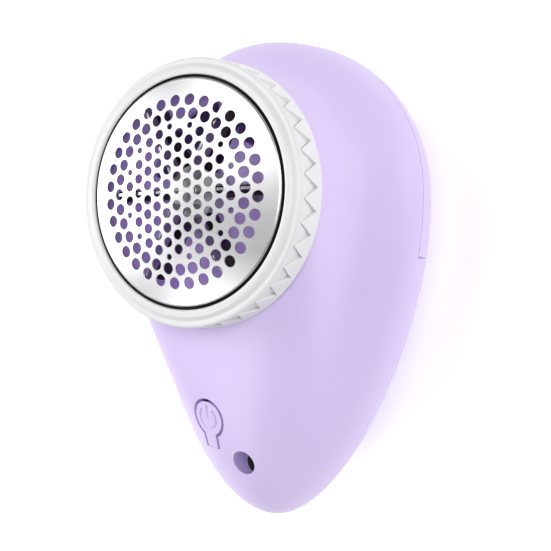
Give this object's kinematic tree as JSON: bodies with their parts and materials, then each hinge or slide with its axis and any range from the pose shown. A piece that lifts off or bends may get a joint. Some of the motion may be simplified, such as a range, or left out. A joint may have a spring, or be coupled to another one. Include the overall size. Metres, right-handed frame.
{
  "type": "fabric shaver",
  "caption": "Rechargeable fabric shaver with an egg-shaped lilac body, a domed perforated foil in a saw-tooth ring, a rotary cutter and a removable lint bin.",
  "frame": {"origin": "where the head axis meets the flat rest face on the back", "axes": "+Z along the head axis towards the foil, +Y towards the round top end, the tapered handle towards -Y"},
  "size_m": [0.079, 0.1129, 0.0632],
  "materials": {
    "lilac_plastic": "fine satin soft-touch moulding",
    "white_plastic": "semi-gloss moulding",
    "foil_steel": "fine brushed",
    "blade_steel": "ground",
    "hub_plastic": "semi-gloss",
    "spring_steel": "drawn wire",
    "screw_steel": "zinc plated",
    "motor_steel": "drawn can",
    "magnet_ferrite": "matt",
    "copper_winding": "enamelled",
    "bronze": "sintered",
    "black_plastic": "matt moulding",
    "cell_metal": "nickel plated",
    "cell_wrap": "shrink film",
    "nickel": "strip",
    "board_green": "solder mask"
  },
  "bodies": {
    "housing": {"front_shell": "lilac_plastic", "rear_shell": "lilac_plastic", "case_screws": "screw_steel", "cutter_chamber": "lilac_plastic", "motor_can": "motor_steel", "motor_end_cap": "black_plastic", "motor_magnets": "magnet_ferrite", "motor_bush": "bronze", "motor_screws": "screw_steel", "motor_housing": "lilac_plastic", "battery_cell": "cell_metal", "battery_sleeve": "cell_wrap", "battery_tabs": "nickel", "board_tray": "black_plastic", "circuit_board": "board_green", "board_screws": "screw_steel", "switch_body": "black_plastic", "charge_socket": "black_plastic"},
    "foil_unit": {"foil": "foil_steel", "foil_retainer": "white_plastic"},
    "ring": {"grip_ring": "white_plastic"},
    "cutter": {"cutter_hub": "hub_plastic", "cutter_blades": "blade_steel", "hub_cap": "screw_steel", "cutter_spring": "spring_steel", "drive_collar": "hub_plastic", "motor_armature": "copper_winding", "motor_shaft": "screw_steel"},
    "bin": {"lint_bin": "lilac_plastic"},
    "button": {"power_button": "lilac_plastic", "switch_plunger": "black_plastic"}
  },
  "joints": [
    {"name": "foil_lift", "type": "slide", "parent": "housing", "child": "foil_unit", "axis": [0, 0, 1], "range_m": [0, 0.02]},
    {"name": "ring_turn", "type": "hinge", "parent": "foil_unit", "child": "ring", "pos_m": [0, 0, 0.055], "axis": [0, 0, 1], "range_deg": [0, 30]},
    {"name": "cutter_spin", "type": "hinge", "parent": "housing", "child": "cutter", "pos_m": [0, 0, 0.05], "axis": [0, 0, 1], "continuous": true},
    {"name": "bin_pull", "type": "slide", "parent": "housing", "child": "bin", "axis": [0, 0, -1], "range_m": [0, 0.03]},
    {"name": "button_press", "type": "hinge", "parent": "housing", "child": "button", "pos_m": [-0.00748, -0.05801, 0.038], "axis": [-0.9877, 0.1564, 0], "range_deg": [0, 3], "stiffness_Nm_per_rad": 0.4}
  ]
}
